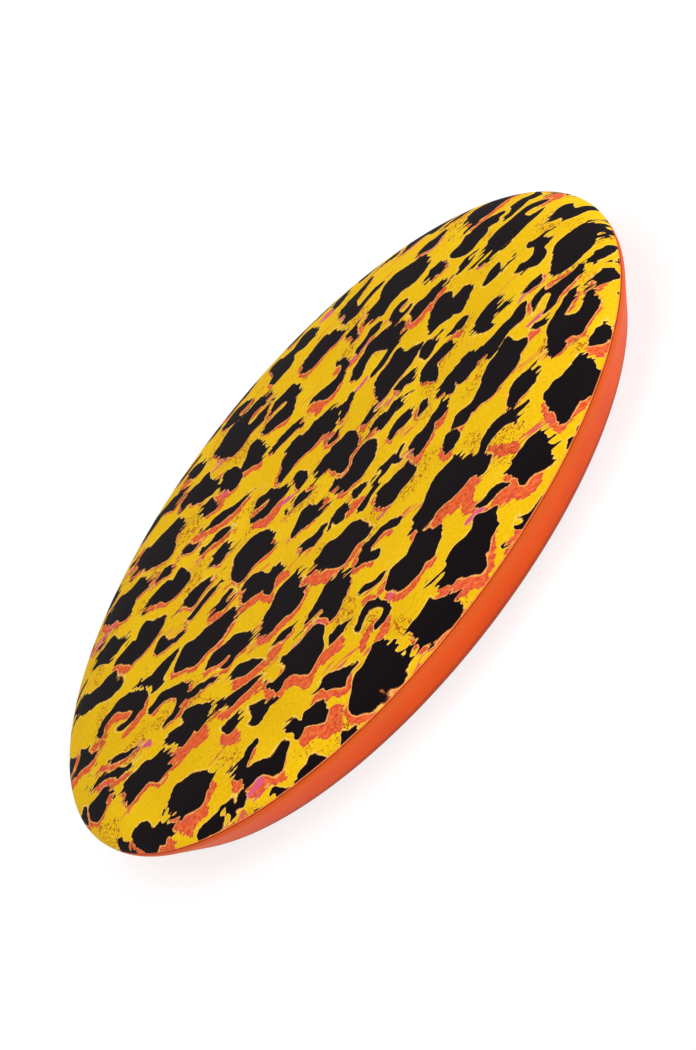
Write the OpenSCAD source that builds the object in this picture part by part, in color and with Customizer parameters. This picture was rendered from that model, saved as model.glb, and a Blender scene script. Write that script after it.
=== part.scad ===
// Soft flying disc: a printed, sponge-backed stretch cover over a foam pad,
// bonded to a moulded soft base whose rounded rim holds a flexible hoop.
// The foot of the rim stands on z = 0 and the disc's axis is Z.

/* [Disc] */
// Diameter across the cover's lip, the widest part of the disc
disc_d = 240; // [200:1:280]
// Height of the cover's underside at the lip, above the foot
hem_z = 13.9; // [12.5:0.1:15]
// Rise of the dome above the fold at the lip
dome_h = 16.5; // [13:0.1:20]
// Flatness of the crown: the exponent on the radius of the dome's curve
crown_power = 3.9; // [2.6:0.1:4.2]
// Softness of the shoulder: the exponent on the height of the dome's curve
shoulder_power = 1.9; // [1.8:0.1:2.5]

/* [Cover] */
// Thickness of the printed knit
knit_t = 0.8; // [0.5:0.1:1.2]
// Thickness of the sponge sheet that backs the knit
sponge_t = 2.4; // [1.5:0.1:3.5]
// Radius of the fold where the knit turns under at the lip
lip_r = 1.2; // [0.8:0.1:2]
// Width of the hem turned under, from the lip to its cut edge
hem_w = 14.5; // [12:0.5:17]
// Clearance between the hem's cut edge and the wall of its seat
hem_gap = 0.3; // [0.2:0.1:1]

/* [Base] */
// Thickness of the base's deck
deck_t = 2.5; // [1.5:0.1:4]
// Rise of the deck from the hem's seat to the centre
deck_crown = 6; // [3:0.5:7]
// Radius of the rim bead's round section
bead_r = 8.5; // [7.5:0.1:9]
// How far the cover's lip stands out past the bead
lip_overhang = 7.4; // [5.5:0.1:8]
// How far the rim's top edge, which backs the hem, lies in from the cover's lip
edge_inset = 0.3; // [0.2:0.1:2]
// Radius that rounds the rim's top edge into its outer flank
edge_r = 3.5; // [2:0.5:5]
// Width of the flat foot that the bead rests on
foot_w = 3; // [1:0.5:5]
// Draft of the rim's inner wall, in degrees
wall_draft = 4; // [0:1:8]
// Radius of the fillet between the inner wall and the deck
root_fillet = 5; // [2:0.5:6]

/* [Hoop] */
// Diameter of the flexible hoop moulded into the bead
hoop_d = 5; // [3:0.5:7]

/* [Hidden] */
turn_fn = 180;      // facets round the disc
round_fn = 48;      // facets round a small section
curve_steps = 30;   // stretches along the dome's curve
deck_steps = 14;    // stretches along the deck's curve
over = 1;           // how far a cut or a join reaches past what it meets

lip_radius = disc_d / 2;
fold_z = hem_z + lip_r;
hem_top = hem_z + knit_t;
hem_inner = lip_radius - hem_w;
seat_r = hem_inner - hem_gap;
pad_inset = knit_t + sponge_t;

// The foot is the flat where z = 0 cuts the bead's round section.
bead_z = sqrt(bead_r * bead_r - foot_w * foot_w / 4);
bead_c = lip_radius - lip_overhang - bead_r;
wall_r = bead_c - bead_r;

// The rim's outer flank is the line that touches both the bead's circle and the smaller
// circle of the rounded top edge. flank_turn is the direction of that line's outward normal.
edge_c = [lip_radius - edge_inset - edge_r, hem_z];
bead_to_edge = edge_c - [bead_c, bead_z];
flank_turn = atan2(bead_to_edge[1], bead_to_edge[0]) - acos((bead_r - edge_r) / norm(bead_to_edge));
flank_normal = [cos(flank_turn), sin(flank_turn)];

// The dome is a superellipse standing on the fold:
// (r / lip_radius) ^ crown_power + (rise / dome_h) ^ shoulder_power = 1.
function dome_point(t) = [
    lip_radius * pow(cos(t), 2 / crown_power),
    dome_h * pow(sin(t), 2 / shoulder_power)
];
function dome_slope(p) = [
    crown_power / lip_radius * pow(p[0] / lip_radius, crown_power - 1),
    shoulder_power / dome_h * pow(p[1] / dome_h, shoulder_power - 1)
];

// A layer's face is that curve moved inwards along its normal n. Where the shoulder
// is tighter than the inset, the stretch that would loop below the fold is left out.
function inset_point(p, n, inset) = [p[0], p[1] + fold_z] - inset * n / norm(n);
function dome_curve(inset) = [
    for (i = [0 : curve_steps])
        let (p = dome_point(90 * i / curve_steps), q = inset_point(p, dome_slope(p), inset))
            if (q[1] >= fold_z) q
];

// The deck's top is a parabola from the hem's seat to the centre.
function deck_z(r) = hem_top + deck_crown * (1 - pow(r / seat_r, 2));
function deck_curve(drop) = [
    for (i = [0 : deck_steps])
        let (r = seat_r * (1 - i / deck_steps))
            [r, deck_z(r) - drop]
];

// Everything inside one of the dome's faces, down to the hem's underside.
module under_dome(inset) {
    polygon(concat(dome_curve(inset), [[0, hem_z], [lip_radius - inset, hem_z]]));
}

// Everything under the deck's top, down to the foot.
module under_deck() {
    polygon(concat(deck_curve(0), [[0, 0], [seat_r, 0]]));
}

// What the knit's round fold leaves of a square corner at the lip.
module fold_corner() {
    difference() {
        translate([lip_radius - lip_r, hem_z - over]) square([lip_r + over, lip_r + over]);
        translate([lip_radius - lip_r, fold_z]) circle(r = lip_r, $fn = round_fn);
    }
}

module printed_cover_profile() {
    difference() {
        under_dome(0);
        fold_corner();
        intersection() {
            under_dome(knit_t);
            translate([0, hem_top]) square([lip_radius, lip_r + dome_h]);
        }
        translate([-over, hem_z - over]) square([hem_inner + over, knit_t + 2 * over]);
    }
}

module cover_sponge_profile() {
    difference() {
        under_dome(knit_t);
        under_dome(pad_inset);
        translate([0, hem_z - over]) square([lip_radius, knit_t + over]);
    }
}

module foam_pad_profile() {
    difference() {
        under_dome(pad_inset);
        under_deck();
        translate([0, hem_z - over]) square([lip_radius, knit_t + over]);
    }
}

// The concave fillet at the root of the rim's inner wall.
module root_fillet_profile() {
    fillet_c = wall_r - root_fillet;
    fillet_z = deck_z(fillet_c) - deck_t - root_fillet;
    difference() {
        translate([fillet_c, fillet_z]) square([root_fillet + over, root_fillet + over]);
        translate([fillet_c, fillet_z]) circle(r = root_fillet, $fn = 2 * round_fn);
    }
}

// The base in section: deck, drafted wall, fillet, bead and rounded top edge with the
// flank between them, cut flat at the hem's seat and at the foot, and with the hoop's
// channel through the bead.
module moulded_base_profile() {
    wall_lean = (hem_top - bead_z) * tan(wall_draft);
    difference() {
        intersection() {
            union() {
                polygon(concat(deck_curve(0), [for (i = [deck_steps : -1 : 0]) deck_curve(deck_t)[i]]));
                polygon([[wall_r, bead_z], [bead_c, bead_z], [seat_r, hem_z],
                         [seat_r, hem_top], [wall_r - wall_lean, hem_top]]);
                root_fillet_profile();
                translate([bead_c, bead_z]) circle(r = bead_r, $fn = 2 * round_fn);
                translate(edge_c) circle(r = edge_r, $fn = 2 * round_fn);
                polygon([[bead_c, bead_z], [bead_c, bead_z] + bead_r * flank_normal,
                         edge_c + edge_r * flank_normal, edge_c, [seat_r, hem_z]]);
            }
            union() {
                square([lip_radius, hem_z]);
                under_deck();
            }
        }
        hoop_profile();
    }
}

module hoop_profile() {
    translate([bead_c, bead_z]) circle(d = hoop_d, $fn = round_fn);
}

// Knit skin over the dome, folded round the lip and turned under as a hem.
module printed_cover() {
    color([0.92, 0.73, 0.10]) rotate_extrude($fn = turn_fn) printed_cover_profile();
}

// Sponge sheet bonded behind the knit, its cut edge standing on the hem.
module cover_sponge() {
    color([0.93, 0.90, 0.84]) rotate_extrude($fn = turn_fn) cover_sponge_profile();
}

// Foam pad that gives the dome its body, between the sponge and the deck.
module foam_pad() {
    color([0.96, 0.95, 0.92]) rotate_extrude($fn = turn_fn) foam_pad_profile();
}

// One soft moulding: the deck, the hem's seat and the rounded rim with its foot.
module moulded_base() {
    color([0.88, 0.34, 0.12]) rotate_extrude($fn = turn_fn) moulded_base_profile();
}

// Flexible hoop that springs the rim round and weights it.
module rim_hoop() {
    color([0.85, 0.86, 0.87]) rotate_extrude($fn = turn_fn) hoop_profile();
}

printed_cover();
cover_sponge();
foam_pad();
moulded_base();
rim_hoop();
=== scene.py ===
"""Soft flying disc: the printed knit cover, its sponge and foam, the moulded base and the
hoop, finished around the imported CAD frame. Lengths are metres unless a name says mm."""

from math import cos, pi, radians, sin, sqrt, tan

import bpy
import numpy as np
from mathutils import Matrix, Vector


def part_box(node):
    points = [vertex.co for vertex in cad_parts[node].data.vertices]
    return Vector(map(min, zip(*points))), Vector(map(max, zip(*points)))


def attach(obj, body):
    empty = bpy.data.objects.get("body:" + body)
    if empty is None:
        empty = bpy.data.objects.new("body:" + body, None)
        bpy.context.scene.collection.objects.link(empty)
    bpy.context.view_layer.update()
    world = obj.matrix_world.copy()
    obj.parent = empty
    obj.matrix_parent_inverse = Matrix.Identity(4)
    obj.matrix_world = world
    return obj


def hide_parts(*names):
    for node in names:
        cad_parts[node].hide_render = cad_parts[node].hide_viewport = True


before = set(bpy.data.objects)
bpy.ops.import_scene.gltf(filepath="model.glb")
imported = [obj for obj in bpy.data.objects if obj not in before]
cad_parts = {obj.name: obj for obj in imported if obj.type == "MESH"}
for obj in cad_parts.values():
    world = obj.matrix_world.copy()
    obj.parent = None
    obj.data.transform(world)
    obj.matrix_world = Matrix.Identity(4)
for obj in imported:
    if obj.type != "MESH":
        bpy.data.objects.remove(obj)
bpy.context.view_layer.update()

MM = 0.001

# ---------------------------------------------------------------- sizes from the frame

cover_low, cover_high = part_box("printed_cover")
sponge_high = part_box("cover_sponge")[1]
pad_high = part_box("foam_pad")[1]
base_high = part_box("moulded_base")[1]
hoop_low, hoop_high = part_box("rim_hoop")

LIP_R = cover_high.x
HEM_Z = cover_low.z
KNIT_T = cover_high.z - sponge_high.z
PAD_INSET = cover_high.z - pad_high.z
HOOP_R = (hoop_high.z - hoop_low.z) / 2
BEAD_C = hoop_high.x - HOOP_R
BEAD_Z = (hoop_high.z + hoop_low.z) / 2
DECK_TOP = base_high.z

# The CAD sizes that no box gives.
FOLD_R = 1.2 * MM
HEM_W = 14.5 * MM
HEM_GAP = 0.3 * MM
DECK_T = 2.5 * MM
FOOT_W = 3.0 * MM
WALL_DRAFT = radians(4)
ROOT_FILLET = 5.0 * MM
EDGE_INSET = 0.3 * MM
EDGE_R = 3.5 * MM
CROWN_POWER = 3.9
SHOULDER_POWER = 1.9

FOLD_Z = HEM_Z + FOLD_R
DOME_H = cover_high.z - FOLD_Z
HEM_TOP = HEM_Z + KNIT_T
HEM_INNER = LIP_R - HEM_W
SEAT_R = HEM_INNER - HEM_GAP
BEAD_R = sqrt(BEAD_Z ** 2 + (FOOT_W / 2) ** 2)
WALL_R = BEAD_C - BEAD_R
EDGE_C = LIP_R - EDGE_INSET - EDGE_R

# ---------------------------------------------------------------- outlines and meshes


def dome_outline(inset, count=1500):
    """One face of the dome from the crown to the fold, as r and z. The outer face is the
    superellipse (r / lip) ^ crown power + (rise / height) ^ shoulder power = 1, and the
    others are it moved in along its normal, without what would loop below the fold."""
    angle = pi / 2 * (1 - np.linspace(0, 1, count) ** 2)
    out = np.maximum(np.cos(angle), 0) ** (2 / CROWN_POWER)
    rise = np.sin(angle) ** (2 / SHOULDER_POWER)
    slope_r = CROWN_POWER / LIP_R * out ** (CROWN_POWER - 1)
    slope_z = SHOULDER_POWER / DOME_H * rise ** (SHOULDER_POWER - 1)
    steep = np.hypot(slope_r, slope_z)
    r = LIP_R * out - inset * slope_r / steep
    z = FOLD_Z + DOME_H * rise - inset * slope_z / steep
    kept = z >= FOLD_Z - 1e-9
    return r[kept], z[kept]


def along(r, z):
    """The distance travelled along an outline at each of its points."""
    return np.concatenate([[0], np.cumsum(np.hypot(np.diff(r), np.diff(z)))])


def even(r, z, count):
    """The outline taken again at count equal steps along it."""
    travelled = along(r, z)
    steps = np.linspace(0, travelled[-1], count)
    return np.interp(steps, travelled, r), np.interp(steps, travelled, z)


def arc(centre_r, centre_z, radius, start, end, count):
    """A round stretch of an outline: angles in degrees from outwards, towards up."""
    angle = np.radians(np.linspace(start, end, count))
    return centre_r + radius * np.cos(angle), centre_z + radius * np.sin(angle)


def chain(*stretches):
    """Joins stretches of an outline and drops the points that repeat."""
    r = np.concatenate([np.atleast_1d(s[0]) for s in stretches])
    z = np.concatenate([np.atleast_1d(s[1]) for s in stretches])
    moved = np.concatenate([[True], np.hypot(np.diff(r), np.diff(z)) > 1e-7])
    return r[moved], z[moved]


def line(r0, z0, r1, z1, count):
    """A straight stretch of an outline."""
    return np.linspace(r0, r1, count), np.linspace(z0, z1, count)


def ring_quads(first, second):
    """Quads between two rings of point numbers, facing out where the outline runs down."""
    return np.stack([first, second, np.roll(second, -1), np.roll(first, -1)], 1)


def new_piece(name, points, faces, materials, face_material=None):
    """A smooth-shaded mesh object with its sharp corners marked."""
    mesh = bpy.data.meshes.new(name)
    mesh.from_pydata(points.tolist(), [], faces)
    for material in materials:
        mesh.materials.append(material)
    if face_material is not None:
        mesh.polygons.foreach_set("material_index", face_material.astype(np.int32))
    mesh.shade_smooth()
    mesh.set_sharp_from_angle(angle=radians(40))
    piece = bpy.data.objects.new(name, mesh)
    bpy.context.scene.collection.objects.link(piece)
    return piece


def turned(name, outline, material, segments):
    """A solid of revolution: the outline turned round the disc's axis. Ends that lie on
    the axis close in a pole, and an outline that doesn't reach it closes on itself."""
    r, z = outline
    on_axis = r < 1e-6
    angle = np.arange(segments) * 2 * pi / segments
    rim_r, rim_z = r[~on_axis], z[~on_axis]
    points = np.stack([np.outer(rim_r, np.cos(angle)), np.outer(rim_r, np.sin(angle)),
                       np.outer(rim_z, np.ones(segments))], -1).reshape(-1, 3)
    rings = np.arange(len(rim_r) * segments).reshape(-1, segments)
    quads = [ring_quads(a, b) for a, b in zip(rings[:-1], rings[1:])]
    caps = []
    if on_axis.any():
        top, bottom = len(points), len(points) + 1
        points = np.vstack([points, [0, 0, z[on_axis][0]], [0, 0, z[on_axis][-1]]])
        first, last = rings[0], rings[-1]
        caps.append(np.stack([np.full(segments, top), first, np.roll(first, -1)], 1))
        caps.append(np.stack([last, np.full(segments, bottom), np.roll(last, -1)], 1))
    else:
        quads.append(ring_quads(rings[-1], rings[0]))
    faces = [f for part in quads + caps for f in part.tolist()]
    return new_piece(name, points, faces, [material])


def disc_grid(cells):
    """A square grid laid on a disc so that its square rings become round ones: a point's
    ring is its larger coordinate, and the smaller one turns it within an eighth. Gives
    each point's share of the radius and its angle, the quads, and the rim in order."""
    side = np.linspace(-1, 1, cells + 1)
    a, b = np.meshgrid(side, side)
    upright = np.abs(b) > np.abs(a)
    share = np.maximum(np.abs(a), np.abs(b))
    major, minor = np.where(upright, b, a), np.where(upright, a, b)
    lean = pi / 4 * minor / np.where(major == 0, 1, major)
    angle = np.where(upright, pi / 2 - lean, lean) + np.where(major < 0, pi, 0)
    number = np.arange((cells + 1) ** 2).reshape(cells + 1, cells + 1)
    quads = np.stack([number[:-1, :-1], number[:-1, 1:], number[1:, 1:],
                      number[1:, :-1]], -1).reshape(-1, 4)
    rim = np.concatenate([number[:-1, -1], number[-1, :0:-1], number[:0:-1, 0],
                          number[0, :-1]])
    return share.ravel(), angle.ravel(), quads, rim


# ---------------------------------------------------------------- the print's layout (mm)

PRINT_SEED = 57
PRINT_R_MM = 146.0          # the printed round, hem included
GRAIN = radians(20)         # how far the print's grain leans from the disc's X
BEND_MM = 700.0             # radius to which the grain bends
LEAN = 0.7                  # how far spots at the print's two ends turn from the grain
SPOT_MM = 17.0              # usual width of a spot with its share of the ground
SQUEEZE = 0.94              # spots are longer along the grain by 1 / this
CHANNEL_MM = 2.5            # least gap between spots that don't run together
FAR = 9.0                   # a distance that counts as nowhere near a spot
# Large spots come first and small ones fill in: up to which throw, and how large.
THROWS = ((260, 1.25), (3600, 1.0), (9000, 0.62))
# What share of the spots has each form. Spots narrower than SMALL_MM are slim and simple.
KINDS = {"blot": 0.40, "plain": 0.24, "forked": 0.16, "hook": 0.12, "pair": 0.08}
SMALL_MM, SLIMMED = 13, 0.86
# What share keeps clear of its neighbours, and has a shadow, a pink stroke or hatching.
PARTED, SHADOWED, STROKED, HATCHED = 0.80, 0.90, 0.20, 0.60
# How far shadows lie off their spots, in mm: the mean and the spread along u and v, and
# the factors that some of them slip by, with the share of each.
SHADOW_OFF, SHADOW_SPREAD = (-1.0, -2.4), (1.2, 0.9)
SLIPS = {0.4: 0.3, 1.0: 0.4, 1.8: 0.3}


def grain(x, y):
    """Place in the print: u along its grain and v across it. The grain leans, and bends
    like a wide parabola."""
    u = x * cos(GRAIN) - y * sin(GRAIN)
    v = x * sin(GRAIN) + y * cos(GRAIN) - u * u / BEND_MM
    return u, v


def stroke(u, v, start, end, radius):
    """Distance to a round-ended stroke of the brush."""
    du, dv = end[0] - start[0], end[1] - start[1]
    share = ((u - start[0]) * du + (v - start[1]) * dv) / (du * du + dv * dv + 1e-9)
    share = np.clip(share, 0, 1)
    return np.hypot(u - start[0] - share * du, v - start[1] - share * dv) - radius


def soft_min(a, b, reach):
    """The smaller of two distances, blended where they differ by less than reach."""
    h = np.clip(0.5 + 0.5 * (b - a) / reach, 0, 1)
    return b + (a - b) * h - reach * h * (1 - h)


def lobe(u, v, half_u, half_v, lumps, draw):
    """Distance to an uneven round blot: an ellipse whose radius swells by a few waves
    round it, the higher ones weaker."""
    p, q = u / half_u, v / half_v
    turn = np.arctan2(q, p)
    edge = 1.0
    for waves in range(2, 7):
        size = lumps / waves ** 0.7 * draw.normal()
        edge = edge + size * np.cos(waves * turn + draw.uniform(0, 2 * pi))
    return (np.hypot(p, q) - edge) * half_v


def blot(u, v, half_u, half_v, draw):
    """A spot of two or three lobes that run into each other along the grain."""
    d = np.full(u.shape, FAR)
    count = draw.integers(2, 4)
    places = np.linspace(-0.42, 0.42, count) + draw.normal(0, 0.07, count)
    for place in places:
        long, wide = half_u * draw.uniform(0.42, 0.66), half_v * draw.uniform(0.55, 0.95)
        offset = half_v * draw.normal(0, 0.22)
        d = soft_min(d, lobe(u - place * half_u, v - offset, long, wide, 0.13, draw), 0.9)
    return d


def hook(u, v, half_u, half_v, draw):
    """A spot drawn as one bent stroke, most of the way round an open middle."""
    steps = 9
    start, span = draw.uniform(0, 2 * pi), draw.uniform(3.3, 5.2)
    angle = start + np.linspace(0, span, steps)
    wander = 1 + draw.normal(0, 0.05, steps)
    across = 0.74 * half_u * np.cos(angle) * wander, 0.72 * half_v * np.sin(angle) * wander
    widths = draw.uniform([0.18, 0.34, 0.16], [0.30, 0.48, 0.30])
    radius = half_v * np.interp(np.linspace(0, 1, steps - 1), [0, 0.4, 1], widths)
    places = np.stack(across, 1)
    d = np.full(u.shape, FAR)
    for a, b, r in zip(places[:-1], places[1:], radius):
        d = soft_min(d, stroke(u, v, a, b, r), 1.3)
    return d


def spot(u, v, centre, half_u, half_v, tilt, kind, seed):
    """Distance to one spot, and how torn its edge is there: the brush tears the ends that
    lie along the grain and leaves the sides clean."""
    draw = np.random.default_rng(seed)
    lu = (u - centre[0]) * cos(tilt) + (v - centre[1]) * sin(tilt)
    lv = (v - centre[1]) * cos(tilt) - (u - centre[0]) * sin(tilt)
    lv = lv - draw.normal(0, 0.10) * lu * lu / half_u
    if kind == "hook":
        d = hook(lu, lv, half_u, half_v, draw)
    elif kind == "pair":
        d = np.full(u.shape, FAR)
        for side in (-1, 1):
            slip = draw.normal(0, 0.22) * half_u
            long, wide = half_u * draw.uniform(0.62, 0.95), half_v * draw.uniform(0.30, 0.42)
            d = np.minimum(d, lobe(lu - slip, lv - side * 0.58 * half_v, long, wide, 0.10, draw))
    elif kind == "blot":
        d = blot(lu, lv, half_u, half_v, draw)
    else:
        d = lobe(lu, lv, half_u, half_v, 0.10, draw)
    if kind == "forked":
        side = draw.choice([-1, 1])
        mouth = side * 1.5 * half_u, draw.normal(0, 0.35) * half_v
        root = side * draw.uniform(0.0, 0.4) * half_u, draw.normal(0, 0.25) * half_v
        d = -soft_min(-d, stroke(lu, lv, mouth, root, draw.uniform(0.8, 1.7)), 1.0)
    strength = draw.uniform(0.4, 1.5, 2) * (draw.random(2) < 0.9)
    end = np.clip(np.abs(lu) / half_u, 0, 1.15) ** 2
    return d, np.where(lu > 0, strength[0], strength[1]) * end


def scatter(draw):
    """Centres and widths of the spots: darts thrown at the print, kept where there is
    room. The spots are smaller in a crowd beside the crown and towards one end."""
    reach = PRINT_R_MM + 10
    places, widths = np.zeros((0, 2)), np.zeros(0)
    for throw, place in enumerate(draw.uniform(-reach, reach, (THROWS[-1][0], 2))):
        if np.hypot(*place) > reach:
            continue
        crowd = np.exp(-((place[0] - 34) / 52) ** 2 - ((place[1] + 6) / 34) ** 2)
        right = np.clip(place[0] / reach, 0, 1)
        size = next(share for last, share in THROWS if throw < last)
        width = SPOT_MM * (1 - 0.22 * crowd - 0.10 * right + 0.08 * place[1] / reach) * size
        apart = np.hypot((places[:, 0] - place[0]) * SQUEEZE, places[:, 1] - place[1])
        if (apart < 0.5 * (widths + width)).any():
            continue
        places = np.vstack([places, place])
        widths = np.append(widths, width)
    return places, widths


def drift(u, v, draw):
    """A smooth random shift of the print: the sum of a few plane waves."""
    size, length, waves = 0.9, 14.0, 7
    total = np.zeros_like(u)
    for _ in range(waves):
        heading, phase = draw.uniform(0, 2 * pi, 2)
        pitch = 2 * pi / (length * draw.uniform(0.7, 1.5))
        total += np.sin(pitch * (u * cos(heading) + v * sin(heading)) + phase)
    return total * size / sqrt(waves / 2)


def lay_print(u, v):
    """The print's layers as distances to their edges, negative inside: black spots, the
    coral shadow that lies off each spot's near side, short pink strokes at spot ends and
    bundles of thin hatching. With them, how torn the nearest spot's edge is."""
    draw = np.random.default_rng(PRINT_SEED)
    places, widths = scatter(draw)
    u, v = u + drift(u, v, draw), v + drift(u, v, draw)
    layers = {name: np.full(u.shape, FAR) for name in ("black", "coral", "accent", "hatch")}
    layers["torn"] = np.zeros(u.shape)

    def lay(name, near, d):
        layers[name][near] = np.minimum(layers[name][near], d)

    for place, width in zip(places, widths):
        # Spots are longer towards the left and the near side of the print and slimmer at
        # both ends, and the right has less coral and hatching.
        leftness, nearness = np.clip(-place / PRINT_R_MM, 0, 1)
        rightness = np.clip(place[0] / PRINT_R_MM, 0, 1) * (1 - nearness) ** 2
        stretch = 1 + 0.4 * nearness + 0.4 * leftness
        half_u = width / SQUEEZE * 0.5 * draw.uniform(0.87, 1.20) * sqrt(stretch)
        half_v = width * 0.5 * draw.uniform(0.83, 1.16) / sqrt(stretch)
        half_v *= 1 - 0.25 * leftness - 0.12 * nearness - 0.16 * rightness
        tilt = draw.normal(0, 0.20) + LEAN * np.clip(place[0] / PRINT_R_MM, -0.8, 0.8)
        kind = draw.choice(list(KINDS), p=list(KINDS.values()))
        if width < SMALL_MM:
            half_v *= SLIMMED
            kind = "plain" if kind in ("hook", "pair") else kind
        slip = draw.choice(list(SLIPS), p=list(SLIPS.values()))
        off = draw.normal(SHADOW_OFF, SHADOW_SPREAD) * slip * (0.6 + 1.0 * nearness)
        seed = draw.integers(1 << 30)
        shadow, fullness, pink, length, clear, gap, hatching, side = draw.random(8)
        jitter = draw.normal(0, 1, 6)
        reach = 1.5 * half_u + 8
        near = (np.abs(u - place[0]) < reach) & (np.abs(v - place[1]) < reach)
        if not near.any():
            continue

        nu, nv = u[near], v[near]
        d, torn = spot(nu, nv, place, half_u, half_v, tilt, kind, seed)
        if clear < PARTED:
            d = np.maximum(d, CHANNEL_MM + 0.4 * gap - layers["black"][near])
        layers["torn"][near] = np.where(d < layers["black"][near], torn, layers["torn"][near])
        lay("black", near, d)
        if shadow < SHADOWED - 0.5 * rightness:
            d, _ = spot(nu - off[0], nv - off[1], place, half_u, half_v, tilt, kind, seed)
            thinned = 0.35 + 0.9 * rightness - 0.6 * leftness - 0.7 * fullness
            lay("coral", near, d + thinned)
        if pink < STROKED:
            end = place + np.array([-0.8 * half_u, -0.7 * half_v]) + jitter[:2] * 1.5
            long = 2.5 + 2.5 * length
            d = stroke(nu, nv, end - [long, 0], end + [long, jitter[2]], 0.8 + 1.1 * fullness)
            lay("accent", near, d)
        if hatching < HATCHED * (1 - rightness):
            away = np.array([(1 if side < 0.4 else -1) * 0.9 * half_u, -0.8 * half_v])
            middle, long = place + away + jitter[3:5] * 2, 4.0 + 4.0 * length
            d = stroke(nu, nv, middle - [long, 0], middle + [long, jitter[5]], 1.4 + side)
            lay("hatch", near, d)
    return layers


# ---------------------------------------------------------------- shader maths


class Field:
    """One socket of a material. Arithmetic on fields, or on fields and plain numbers,
    adds Math nodes, and node() adds any other node."""

    def __init__(self, tree, socket=None):
        self.tree, self.socket = tree, socket

    def node(self, kind, settings, inputs, output=0):
        """Adds a node: its settings first, then the values or links of its sockets."""
        made = self.tree.nodes.new(kind)
        for name, value in settings.items():
            setattr(made, name, value)
        for key, value in inputs.items():
            if isinstance(value, Field):
                self.tree.links.new(value.socket, made.inputs[key])
            else:
                made.inputs[key].default_value = value
        return Field(self.tree, made.outputs[output] if made.outputs else None)

    def maths(self, operation, *values):
        """Puts numbers through a Math node."""
        return self.node("ShaderNodeMath", {"operation": operation}, dict(enumerate(values)))

    def __add__(self, other):
        return self.maths("ADD", self, other)

    __radd__ = __add__

    def __sub__(self, other):
        return self.maths("SUBTRACT", self, other)

    def __rsub__(self, other):
        return self.maths("SUBTRACT", other, self)

    def __mul__(self, other):
        return self.maths("MULTIPLY", self, other)

    __rmul__ = __mul__

    def __abs__(self):
        return self.maths("ABSOLUTE", self)

    def step(self, low, high):
        """Rises smoothly from 0 at low to 1 at high. Where low is the larger, it falls."""
        if low > high:
            return 1 - self.step(high, low)
        settings = {"interpolation_type": "SMOOTHSTEP"}
        return self.node("ShaderNodeMapRange", settings, {0: self, 1: low, 2: high})

    def between(self, first, second):
        """A colour that runs from the first to the second as this rises from 0 to 1."""
        inputs = {0: self, 6: first, 7: second}
        return self.node("ShaderNodeMix", {"data_type": "RGBA"}, inputs, 2)

    def mix(self, other, share):
        """This colour with a share of the other."""
        return share.between(self, other)

    def vector_maths(self, operation, *others, output=0):
        """This place put through a Vector Math node."""
        inputs = dict(enumerate((self, *others)))
        return self.node("ShaderNodeVectorMath", {"operation": operation}, inputs, output)

    def axis(self, number):
        """One of this place's three numbers."""
        return self.node("ShaderNodeSeparateXYZ", {}, {0: self}, number)

    def scaled(self, *factors):
        """This place with each of its axes scaled."""
        return self.vector_maths("MULTIPLY", factors)

    def length(self):
        """This place's distance from the middle."""
        return self.vector_maths("LENGTH", output=1)

    def noise(self, detail=2.0, roughness=0.5, scale=1.0):
        """Cloudy noise at this place, about 0.5 in the middle."""
        inputs = {"Vector": self, "Scale": scale, "Detail": detail, "Roughness": roughness}
        return self.node("ShaderNodeTexNoise", {}, inputs)


def paint(red, green, blue):
    """A colour given in 0 to 255 as screens show it, made linear for a shader."""
    share = np.array([red, green, blue]) / 255
    linear = np.where(share <= 0.04045, share / 12.92, ((share + 0.055) / 1.055) ** 2.4)
    return (*linear.tolist(), 1.0)


def new_material(name):
    """An empty material, and the Field that its nodes start from."""
    material = bpy.data.materials.new(name)
    material.use_nodes = True
    material.node_tree.nodes.clear()
    return material, Field(material.node_tree)


def surface(start, inputs):
    """Ends a material in one Principled shader."""
    shader = start.node("ShaderNodeBsdfPrincipled", {}, inputs)
    start.node("ShaderNodeOutputMaterial", {}, {"Surface": shader})


def bumps(height, depth, strength=1.0):
    """A normal from a height of 0 to 1 that stands for depth metres."""
    inputs = {"Height": height, "Distance": depth, "Strength": strength}
    return height.node("ShaderNodeBump", {}, inputs)


def seen(start):
    """1 on rays that the camera sees, directly or by way of gloss or glass, and else 0."""
    rays = [start.node("ShaderNodeLightPath", {}, {}, "Is %s Ray" % kind)
            for kind in ("Camera", "Glossy", "Transmission")]
    return start.maths("MINIMUM", rays[0] + rays[1] + rays[2], 1)


def object_place(start):
    """The place on the object, in metres."""
    return start.node("ShaderNodeTexCoord", {}, {}, "Object")


def attribute(start, name, output="Fac"):
    """What the mesh stores under a name."""
    return start.node("ShaderNodeAttribute", {"attribute_name": name}, {}, output)


# ---------------------------------------------------------------- materials

# The print's inks, the painted highlight on the fold under the lip, and the pitch of the
# knit's wales and courses.
YELLOW = paint(220, 169, 9), paint(243, 197, 21)
CORAL = paint(208, 74, 34), paint(236, 112, 62)
CORAL_EDGE = paint(202, 66, 66)
HATCH_RED = paint(214, 82, 76)
PINK = paint(214, 88, 122)
CURL_BROWN = paint(172, 66, 30)
SPECK_BROWN = paint(96, 46, 24)
PALE_YELLOW = paint(250, 218, 116)
BLEED_BROWN = paint(138, 62, 26)
SPOT_BLACK = paint(18, 12, 14)
FOLD_HIGHLIGHT = paint(246, 138, 74)
WALE_MM, COURSE_MM = 0.9, 0.65


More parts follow.
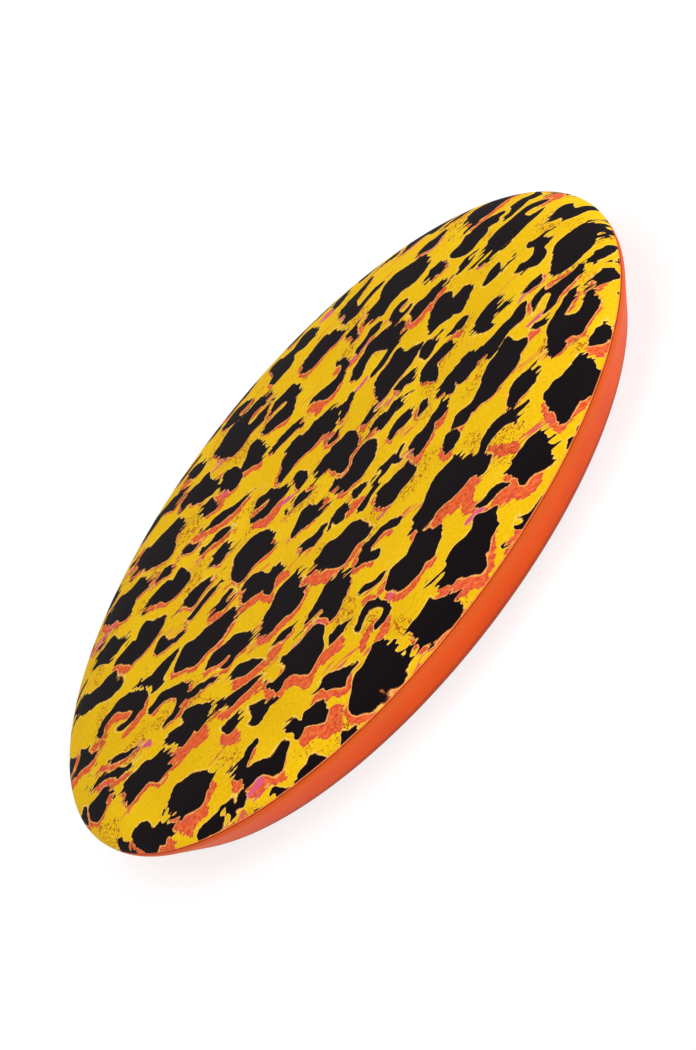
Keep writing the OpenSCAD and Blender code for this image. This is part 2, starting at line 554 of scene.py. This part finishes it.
def printed_knit():
    """The print on fine jersey: warm yellow ground, dry-brushed black spots with a thin
    pale edge, scribbled coral shadows, pink strokes and a few specks of ink."""
    material, start = new_material("printed_knit")
    place = attribute(start, "print_place", "Vector")
    black, coral = attribute(start, "black"), attribute(start, "coral")
    accent, torn = attribute(start, "accent"), attribute(start, "torn")
    from_lip = attribute(start, "from_lip")

    # Edges: a slight waver everywhere, and brushed teeth where the spot is torn.
    waver = place.scaled(0.22, 0.28, 1).noise(detail=3.0, roughness=0.6) - 0.5
    comb = place.scaled(0.10, 0.34, 1).noise(detail=1.0).step(0.40, 0.60) - 0.5
    fine = place.scaled(0.17, 0.95, 1).noise(detail=1.0) - 0.5
    wave = place.scaled(0.14, 0.42, 1).noise(detail=0.0) - 0.5
    teeth = abs(wave) - 0.09
    black = black + waver * 1.9 + torn * (comb * 1.6 + teeth * 11.0 + fine * 2.0)
    coral = coral + waver * 2.0 + fine * 2.4

    # Ground: broad clouds, and the fine mottling that ink has on knit.
    cloud = place.scaled(0.03, 0.03, 1).noise(detail=2.0)
    mottle = place.scaled(0.8, 0.8, 1).noise(detail=2.0, roughness=0.8)
    share = (cloud * 0.4 + mottle * 0.6).step(0.25, 0.75)
    ground = share.between(*YELLOW)

    # Coral shadow: lighter and darker scribble, redder where it thins out at its edge.
    scribble = place.scaled(0.55, 0.95, 1).noise(detail=3.0, roughness=0.7)
    coral_ink = scribble.step(0.36, 0.64).between(*CORAL)
    coral_ink = coral_ink.mix(CORAL_EDGE, coral.step(-0.9, -0.1) * 0.8)
    worn = (coral + (scribble - 0.5) * 2.6).step(0.15, -0.15)
    colour = ground.mix(coral_ink, worn)

    # Hatching: thin lines along the grain, where cloudy noise crosses its middle.
    ridge = place.scaled(0.045, 0.40, 1).noise(detail=0.0) - 0.5
    lines = abs(ridge).step(0.055, 0.025)
    hatch = attribute(start, "hatch").step(0.1, -0.5) * lines
    colour = colour.mix(HATCH_RED, hatch * 0.9)

    # Pink strokes, split into a few parallel hairs.
    hairs = place.scaled(0.09, 0.62, 1).noise(detail=0.0).step(0.44, 0.50)
    colour = colour.mix(PINK, accent.step(0.2, -0.2) * hairs)

    # Specks and small curls of dark ink in loose drifts.
    drifts = place.scaled(0.05, 0.045, 1).noise(detail=1.0).step(0.53, 0.64)
    specks = place.scaled(0.95, 0.75, 1).noise(detail=1.0).step(0.64, 0.68)
    loops = place.scaled(0.50, 0.42, 1).noise(detail=1.0) - 0.5
    curls = abs(loops).step(0.035, 0.018) * drifts.step(0.6, 1.0)
    colour = colour.mix(CURL_BROWN, curls * 0.85)
    colour = colour.mix(SPECK_BROWN, drifts * specks * 0.8)

    # Pale edge, the brown that it bleeds to, then the black itself.
    colour = colour.mix(PALE_YELLOW, black.step(0.62, 0.26) * 0.5)
    colour = colour.mix(BLEED_BROWN, black.step(0.18, -0.02) * 0.85)
    colour = colour.mix(SPOT_BLACK, black.step(0.00, -0.18))

    # Under the lip, a painted highlight: a pale orange band along the rounded fold and over
    # the hem beneath it.
    colour = colour.mix(FOLD_HIGHLIGHT, from_lip.step(0.15, 0.45) * 0.8)

    # Stitches: one wave for each wale and one for each course.
    stitches = place.scaled(2 * pi / WALE_MM, 2 * pi / COURSE_MM, 0).vector_maths("SINE")
    knit = stitches.axis(0) * 0.3 + stitches.axis(1) * 0.2 + 0.5
    surface(start, {"Base Color": colour, "Roughness": 0.75, "Specular IOR Level": 0.03,
                    "Normal": bumps(knit, 0.05 * MM, 0.5)})
    return material


def knit_back():
    """The unprinted back of the knit, bonded to the sponge."""
    material, start = new_material("knit_back")
    weave = object_place(start).noise(scale=900.0)
    colour = weave.between(paint(214, 204, 188), paint(236, 229, 216))
    surface(start, {"Base Color": colour, "Roughness": 0.9, "Normal": bumps(weave, 0.1 * MM)})
    return material


def lining_foam(name, dark, light, cell):
    """Foam with cells of about the given size, painted dark inside as shade in the pores and
    light at their walls.
    """
    material, start = new_material(name)
    place = object_place(start)
    cells = place.node("ShaderNodeTexVoronoi", {}, {"Vector": place, "Scale": 1 / cell})
    surface(start, {"Base Color": cells.between(dark, light), "Roughness": 0.95,
                    "Normal": bumps(cells, 0.3 * cell)})
    return material


# Painted light and shade on the outside of the rim: the colour, its share, and the heights in
# mm at which it begins and is full. A pale band up to the fold is a painted highlight, and
# painted shade darkens the seam under the fold and the foot where it meets the floor.
RIM_PAINTED_LIGHT = (
    # painted highlight: a pale band from below the fold up
    (paint(216, 92, 36), 0.80, 9.4, 11.2),
    # painted shade in the seam under the fold
    (paint(170, 64, 22), 0.22, 12.2, 13.5),
    # painted shade darkening the foot down to the floor
    (paint(150, 62, 24), 0.55, 3.6, 2.2),
)


def moulded_foam():
    """Dense orange moulding foam with a satin skin: faint clouds of colour, a very fine pebble,
    and bands of painted highlight and painted shade round the rim."""
    material, start = new_material("moulded_foam")
    place = object_place(start)
    cloud = place.noise(scale=45.0, detail=3.0)
    pebble = place.noise(scale=1400.0, detail=2.0)
    colour = cloud.step(0.3, 0.7).between(paint(226, 82, 9), paint(232, 90, 13))
    outside = place.scaled(1, 1, 0).length().step(WALL_R, BEAD_C)
    height = place.axis(2)
    # Painted highlight and painted shade in bands round the outside of the rim.
    for painted_tone, share, begins, full in RIM_PAINTED_LIGHT:
        colour = colour.mix(painted_tone, outside * height.step(begins * MM, full * MM) * share)
    surface(start, {"Base Color": colour, "Roughness": 0.42 + 0.08 * cloud,
                    "Specular IOR Level": 0.05, "Normal": bumps(pebble, 0.03 * MM)})
    return material


def hoop_plastic():
    """Natural nylon, slightly cloudy."""
    material, start = new_material("hoop_plastic")
    cloud = object_place(start).noise(scale=120.0, detail=3.0)
    colour = cloud.between(paint(205, 207, 208), paint(226, 227, 226))
    surface(start, {"Base Color": colour, "Roughness": 0.35 + 0.1 * cloud})
    return material


def white_floor():
    """White paper that shows as white, with a soft trace of the object's shadow."""
    material, start = new_material("white_floor")
    paper = start.node("ShaderNodeBsdfDiffuse", {}, {"Color": (0.9, 0.9, 0.9, 1)})
    glow = start.node("ShaderNodeEmission", {}, {"Color": (1, 1, 1, 1), "Strength": 1.08})
    shown = start.node("ShaderNodeMixShader", {}, {0: seen(start) * 0.75, 1: paper, 2: glow})
    start.node("ShaderNodeOutputMaterial", {}, {"Surface": shown})
    return material


# ---------------------------------------------------------------- pieces


def place_print(mesh, travelled, angle, edge):
    """Stores the print on the cover's points, with how many mm past the lip each lies. A
    point's place in the flat cloth is its distance along the cover from the crown, in the
    direction it lies."""
    x, y = travelled / MM * np.cos(angle), travelled / MM * np.sin(angle)
    u, v = grain(x, y)
    fields = lay_print(u, v)
    fields["from_lip"] = (travelled - edge) / MM
    for name, values in fields.items():
        stored = mesh.attributes.new(name, "FLOAT", "POINT")
        stored.data.foreach_set("value", values.astype(np.float32))
    flat = np.stack([u, v, np.zeros_like(u)], 1)
    stored = mesh.attributes.new("print_place", "FLOAT_VECTOR", "POINT")
    stored.data.foreach_set("vector", flat.astype(np.float32).ravel())


def make_cover(cells=264):
    """The knit: a grid over the dome, then rings round the fold, the hem, its cut edge and
    back along the inside to the pole under the crown."""
    dome_r, dome_z = dome_outline(0)
    dome_travel = along(dome_r, dome_z)
    dome_length = dome_travel[-1]
    share, angle, quads, rim = disc_grid(cells)
    travelled, turn = share * dome_length, angle[rim]
    r = np.interp(travelled, dome_travel, dome_r)
    z = np.interp(travelled, dome_travel, dome_z)
    points = np.stack([r * np.cos(angle), r * np.sin(angle), z], 1)

    # The outline from the lip on: fold and hem outside, cut edge, and the back inside.
    inside = dome_outline(KNIT_T)
    folded = arc(LIP_R - FOLD_R, FOLD_Z, FOLD_R, 0, -90, 7)
    outer = chain(folded, line(LIP_R - FOLD_R, HEM_Z, HEM_INNER, HEM_Z, 9))
    inner = chain(([HEM_INNER], [HEM_TOP]), ([LIP_R - KNIT_T], [HEM_TOP]),
                  even(inside[0][::-1], inside[1][::-1], 7))
    side_r = np.concatenate([outer[0], inner[0]])[1:]
    side_z = np.concatenate([outer[1], inner[1]])[1:]
    past_lip = along(*outer)[1:]
    side_travel = dome_length + np.concatenate([past_lip, np.full(len(inner[0]), past_lip[-1])])

    on_axis = side_r < 1e-6
    side_r, side_z, pole_z = side_r[~on_axis], side_z[~on_axis], side_z[on_axis][-1]
    side_travel = side_travel[:len(side_r)]
    rings = len(points) + np.arange(len(side_r) * len(rim)).reshape(len(side_r), len(rim))
    side = np.stack([np.outer(side_r, np.cos(turn)), np.outer(side_r, np.sin(turn)),
                     np.outer(side_z, np.ones(len(rim)))], -1).reshape(-1, 3)
    points = np.vstack([points, side, [0, 0, pole_z]])
    pole = np.full(len(rim), len(points) - 1)
    loops = [rim, *rings]
    walls = [ring_quads(a, b) for a, b in zip(loops[:-1], loops[1:])]
    cap = np.stack([rings[-1], pole, np.roll(rings[-1], -1)], 1)
    faces = quads.tolist() + [f for wall in walls for f in wall.tolist()] + cap.tolist()

    # The print ends at the hem's cut edge.
    back = np.zeros(len(faces))
    back[len(quads) + (len(outer[0]) - 1) * len(rim):] = 1
    cover = new_piece("printed_cover_knit", points, faces, [printed_knit(), knit_back()], back)
    all_travelled = np.concatenate([travelled, np.repeat(side_travel, len(rim)), [0]])
    all_angles = np.concatenate([angle, np.tile(turn, len(side_r)), [0]])
    place_print(cover.data, all_travelled, all_angles, dome_length)
    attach(cover, "root")
    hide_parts("printed_cover")


def deck_outline(drop, count=40):
    """A face of the deck from the axis to the hem's seat: a parabola, lowered by drop."""
    r = np.linspace(0, SEAT_R, count)
    return r, HEM_TOP + (DECK_TOP - HEM_TOP) * (1 - (r / SEAT_R) ** 2) - drop


def make_base():
    """The moulding: down from the deck to the hem's seat, out to the rounded top edge,
    down the flank that touches both the edge's circle and the bead's, round the bead to
    its foot, up the drafted inner wall and its fillet, and back under the deck."""
    out, up = EDGE_C - BEAD_C, HEM_Z - BEAD_Z
    flank = np.degrees(np.arctan2(up, out) - np.arccos((BEAD_R - EDGE_R) / np.hypot(out, up)))
    foot = np.degrees(np.arcsin(BEAD_Z / BEAD_R))
    top = deck_outline(0)
    edge = arc(EDGE_C, HEM_Z, EDGE_R, 0, flank, 14)
    bead = arc(BEAD_C, BEAD_Z, BEAD_R, flank, -foot, 20)
    inner = arc(BEAD_C, BEAD_Z, BEAD_R, foot - 180, -180, 24)
    # The deck's underside is drawn finely, so that the fillet meets it where it should.
    deck = deck_outline(DECK_T, 200)
    centre_r = WALL_R - ROOT_FILLET
    centre_z = np.interp(centre_r, *deck) - ROOT_FILLET
    wall_r = WALL_R - (centre_z - BEAD_Z) * tan(WALL_DRAFT)
    fillet = arc(centre_r, centre_z, ROOT_FILLET, 8, 86, 16)
    under = deck[0][::-1], deck[1][::-1]
    kept = under[0] < fillet[0][-1]
    outline = chain(top, ([SEAT_R], [HEM_Z]), edge, bead, inner, ([wall_r], [centre_z]), fillet,
                    (under[0][kept][::5], under[1][kept][::5]), ([0], [under[1][-1]]))
    base = turned("soft_base", outline, moulded_foam(), segments=320)
    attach(base, "root")
    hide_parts("moulded_base")


def make_linings():
    """The sponge sheet behind the knit and the foam pad on the deck."""
    out_r, out_z = dome_outline(KNIT_T)
    in_r, in_z = dome_outline(PAD_INSET)
    sponge = chain(even(out_r, out_z, 60), ([LIP_R - KNIT_T], [HEM_TOP]),
                   ([LIP_R - PAD_INSET], [HEM_TOP]), even(in_r[::-1], in_z[::-1], 60))
    deck = deck_outline(0)
    pad = chain(even(in_r, in_z, 60), ([LIP_R - PAD_INSET], [HEM_TOP]),
                (deck[0][::-1], deck[1][::-1]))
    for name, node, slot, outline, finish in (
        ("sponge_sheet", "cover_sponge", "sponge", sponge,
         lining_foam("sponge", paint(226, 216, 196), paint(244, 238, 226), 0.6 * MM)),
        ("foam_pad_block", "foam_pad", "pad_foam", pad,
         lining_foam("pad_foam", paint(232, 229, 220), paint(249, 247, 242), 1.1 * MM)),
    ):
        piece = turned(name, outline, finish, segments=160)
        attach(piece, "root")
        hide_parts(node)


def finish_hoop():
    """The hoop keeps its CAD mesh and gets its own material."""
    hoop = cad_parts["rim_hoop"]
    hoop.data.materials.clear()
    hoop.data.materials.append(hoop_plastic())


# ---------------------------------------------------------------- studio


def make_floor(half=6.0):
    """A square of paper under the disc."""
    points = np.array([[-half, -half, 0], [half, -half, 0], [half, half, 0], [-half, half, 0]])
    floor = new_piece("floor", points, [(0, 1, 2, 3)], [white_floor()])


def make_world():
    """White where it is seen directly or in gloss, and a soft grey-white fill elsewhere."""
    world = bpy.data.worlds.new("studio")
    world.use_nodes = True
    world.node_tree.nodes.clear()
    start = Field(world.node_tree)
    white = start.node("ShaderNodeBackground", {}, {"Color": (1, 1, 1, 1), "Strength": 1.0})
    fill = start.node("ShaderNodeBackground", {}, {"Color": (1, 1, 1, 1), "Strength": 0.45})
    both = start.node("ShaderNodeMixShader", {}, {0: seen(start), 1: fill, 2: white})
    start.node("ShaderNodeOutputWorld", {}, {"Surface": both})
    bpy.context.scene.world = world


def make_lamp(name, place, size, power):
    """A square soft box that faces the middle of the floor."""
    lamp = bpy.data.lights.new(name, "AREA")
    lamp.shape, lamp.size, lamp.energy = "SQUARE", size, power
    holder = bpy.data.objects.new(name, lamp)
    away = Vector(place).to_track_quat("Z", "Y")
    holder.matrix_world = Matrix.Translation(place) @ away.to_matrix().to_4x4()
    bpy.context.scene.collection.objects.link(holder)


def make_camera():
    """A long lens, low in front of the disc and rolled, so that the disc leans across
    the frame."""
    elevation, roll, distance = radians(21.26), radians(-52.10), 18.28 * LIP_R
    middle = Vector((0, 0, 14.28 * MM))
    right, back = Vector((1, 0, 0)), Vector((0, -cos(elevation), sin(elevation)))
    level = Matrix((right, back.cross(right), back)).transposed()
    turn = level @ Matrix.Rotation(roll, 3, "Z")
    aside = turn @ Vector((1.40 * MM, -1.30 * MM, 0))
    camera = bpy.data.cameras.new("camera")
    camera.sensor_fit, camera.sensor_height, camera.lens = "VERTICAL", 36.0, 251.7
    holder = bpy.data.objects.new("camera", camera)
    holder.matrix_world = Matrix.Translation(middle + back * distance + aside) @ turn.to_4x4()
    bpy.context.scene.collection.objects.link(holder)
    bpy.context.scene.camera = holder


make_camera()
make_linings()
make_cover()
make_base()
finish_hoop()
make_floor()
make_world()
make_lamp("overhead_softbox", (-0.2, 0.1, 1.6), size=1.4, power=12.4)
make_lamp("front_softbox", (-0.15, -1.9, 0.36), size=0.7, power=16.8)
make_lamp("side_softbox", (1.6, 0.3, 0.12), size=0.8, power=26.0)
bpy.context.scene.view_settings.view_transform = "Standard"
